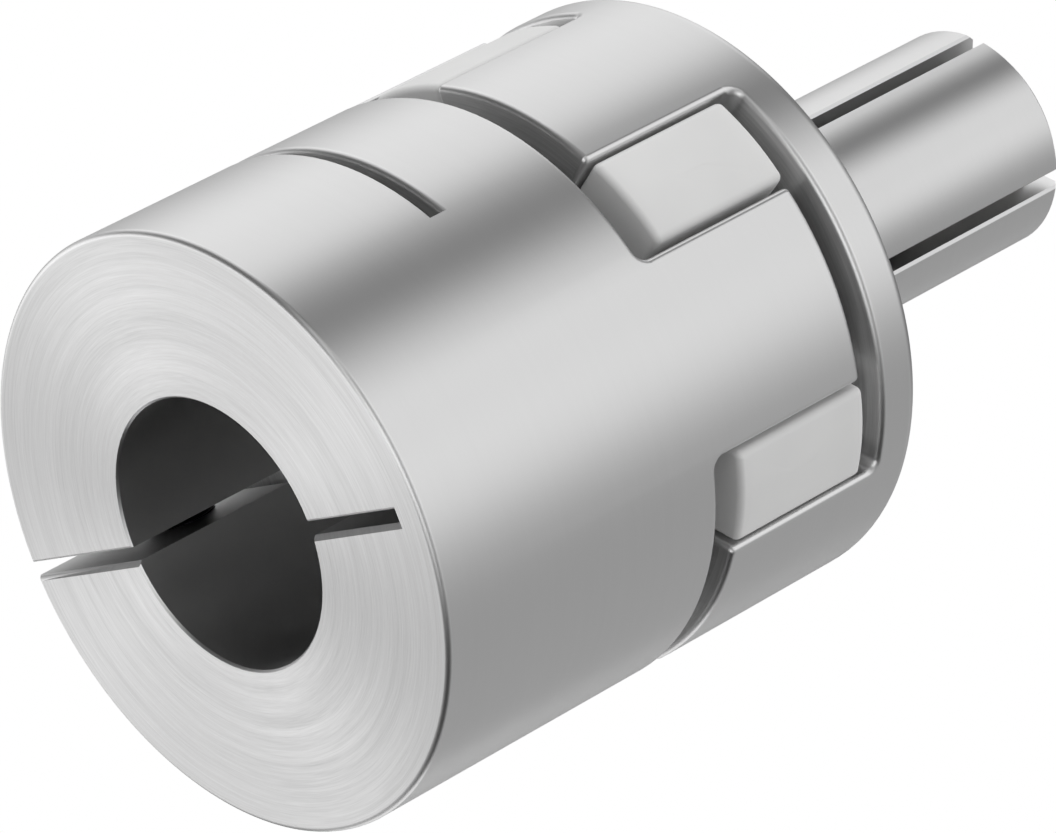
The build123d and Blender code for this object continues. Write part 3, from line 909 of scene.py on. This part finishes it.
# %% Surface of a screw
def screw_surface(size, pitch, length, thread_length, head, height, flats, socket_depth, teeth):
    """All rings of a screw from its tip to its socket's floor, as points in mm."""
    turn = np.linspace(0, 2 * np.pi, 4 * teeth, endpoint=False)
    crest, rim = size / 2 - THREAD_PLAY, head / 2
    mouth = flats / 2 / np.cos(np.pi / 6) + 0.12
    tip = [(-length, 0.0), (-length, 0.35 * crest), (-length, 0.7 * crest)]
    shank = [(-length + thread_length + 0.02, crest)] if thread_length < length - 0.5 else []
    fillet = [(-0.25, crest), (-0.07, crest + 0.05), (0.0, crest + 0.2)]
    seat = [(0.0, 0.72 * rim + 0.28 * crest), (0.0, rim - 0.25), (0.06, rim - 0.12), (0.2, rim - NOTCH)]
    sections = [
        plain_rings(tip, len(turn)), rolled_thread(crest, pitch, length, thread_length, turn),
        plain_rings(shank + fillet + seat, len(turn)), knurled_rings(head, height, teeth),
        plain_rings(rounded_top(head, height, mouth), len(turn)),
        socket_rings(height, flats, socket_depth, turn),
    ]
    heights, radii = (np.concatenate(kind) for kind in zip(*sections))
    return np.stack([radii * np.cos(turn), radii * np.sin(turn), heights], axis=-1)


m5 = screw_surface(size=5.0, pitch=0.8, length=16.0, thread_length=15.6, head=8.5, height=5.0,
                   flats=4.0, socket_depth=2.5, teeth=36)
m6 = screw_surface(size=6.0, pitch=1.0, length=30.0, thread_length=24.0, head=10.0, height=6.0,
                   flats=5.0, socket_depth=3.0, teeth=42)
print("Rings and points round them, M5:", m5.shape[:2], "M6:", m6.shape[:2])

# %% [markdown]
# ## Both screws
# Each screw is turned and moved to its place. The clamp screw crosses the slit at a right angle, and
# the draw screw lies on the coupling's axis with its head towards the bore.

# %% Both screws
def placed(points, origin, x_direction, z_direction):
    """A screw's points turned and moved from its own axes to the coupling's, in metres."""
    x, z = np.array(x_direction, float), np.array(z_direction, float)
    return (points @ np.stack([x, np.cross(z, x), z]) + np.array(origin)) / 1000


clock = np.radians(CLOCKING)
over = np.array([0, np.cos(clock), -np.sin(clock)])  # along the slit, away from the axis
square = np.array([0, np.sin(clock), np.cos(clock)])  # square to the slit
CLAMP_SEAT = 8.7 * np.array([1, 0, 0]) + 15.5 * over + 5.25 * square
DRAW_SEAT = (42.6, 0, 0)
m5_points = placed(m5, CLAMP_SEAT, (1, 0, 0), square)
m6_points = placed(m6, DRAW_SEAT, over, (-1, 0, 0))
clamp_screw = new_object("clamp_screw_m5", m5_points, wound(*m5.shape[:2]))
draw_screw = new_object("draw_screw_m6", m6_points, wound(*m6.shape[:2]))
for screw, node, body in (
    (clamp_screw, "clamp_screw", "clamp_bolt"), (draw_screw, "draw_screw", "draw_bolt")
):
    finish_surface(screw, 40)
    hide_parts(node)
    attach(screw, body)

# %% [markdown]
# ## Black oxide steel
# The screws are forged and rolled from steel and blackened in a hot salt bath. The thin oxide is nearly
# black, still metallic, and slightly patchy from the bath. So a noise with patches of about a
# millimetre changes its tone and its shine from place to place.

# %% Black oxide steel
OXIDE_PATCH = 0.0012  # m

screw_steel = bpy.data.materials.new("black_oxide_steel")
tree = empty_tree(screw_steel)
place = add_node(tree, "ShaderNodeTexCoord").outputs["Object"]
patches = add_node(
    tree, "ShaderNodeTexNoise", {"Vector": place, "Scale": 1 / OXIDE_PATCH, "Detail": 5.0}
)
tone = add_node(
    tree, "ShaderNodeMix", {0: patches, COLOUR_A: linear("#2b2b2d"), COLOUR_B: linear("#4a4a4c")},
    data_type="RGBA",
)
sheen = add_node(
    tree, "ShaderNodeMapRange",
    {"Value": patches, "From Min": 0.3, "From Max": 0.7, "To Min": 0.28, "To Max": 0.45},
)
relief = add_node(tree, "ShaderNodeBump", {"Height": patches, "Strength": 0.3, "Distance": 0.00001})
shader = add_node(tree, "ShaderNodeBsdfPrincipled", {
    "Base Color": tone.outputs[MIXED_COLOUR], "Roughness": sheen, "Normal": relief, "Metallic": 1.0,
})
add_node(tree, "ShaderNodeOutputMaterial", {"Surface": shader})
clamp_screw.data.materials.append(screw_steel)
draw_screw.data.materials.append(screw_steel)
print("Oxide patches of", 1000 * OXIDE_PATCH, "mm on both screws")

# %% [markdown]
# ## Turned steel of the cone
# The cone in the shaft's end is bare steel, turned as the hubs are. Its solid is right, so it stays and
# only takes a finish: the same grooves in a darker, yellower metal that shines more.

# %% Turned steel of the cone
cone_steel = bpy.data.materials.new("turned_steel")
tree = empty_tree(cone_steel)
grooves, circle = turned_grooves(tree)
tone = add_node(
    tree, "ShaderNodeMix", {0: grooves, COLOUR_A: linear("#a2a1a0"), COLOUR_B: linear("#bab9b7")},
    data_type="RGBA",
)
polish = add_node(
    tree, "ShaderNodeMapRange",
    {"Value": grooves, "From Min": 0.3, "From Max": 0.7, "To Min": 0.28, "To Max": 0.38},
)
relief = add_node(tree, "ShaderNodeBump", {"Height": grooves, "Strength": 0.4, "Distance": 0.000003})
shader = add_node(tree, "ShaderNodeBsdfPrincipled", {
    "Base Color": tone.outputs[MIXED_COLOUR], "Roughness": polish, "Normal": relief, "Tangent": circle,
    "Metallic": 1.0, "Anisotropic": 0.5, "Anisotropic Rotation": 0.25,
})
add_node(tree, "ShaderNodeOutputMaterial", {"Surface": shader})
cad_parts["expander_cone"].material_slots[0].material = cone_steel
print("The cone wears", cone_steel.name)
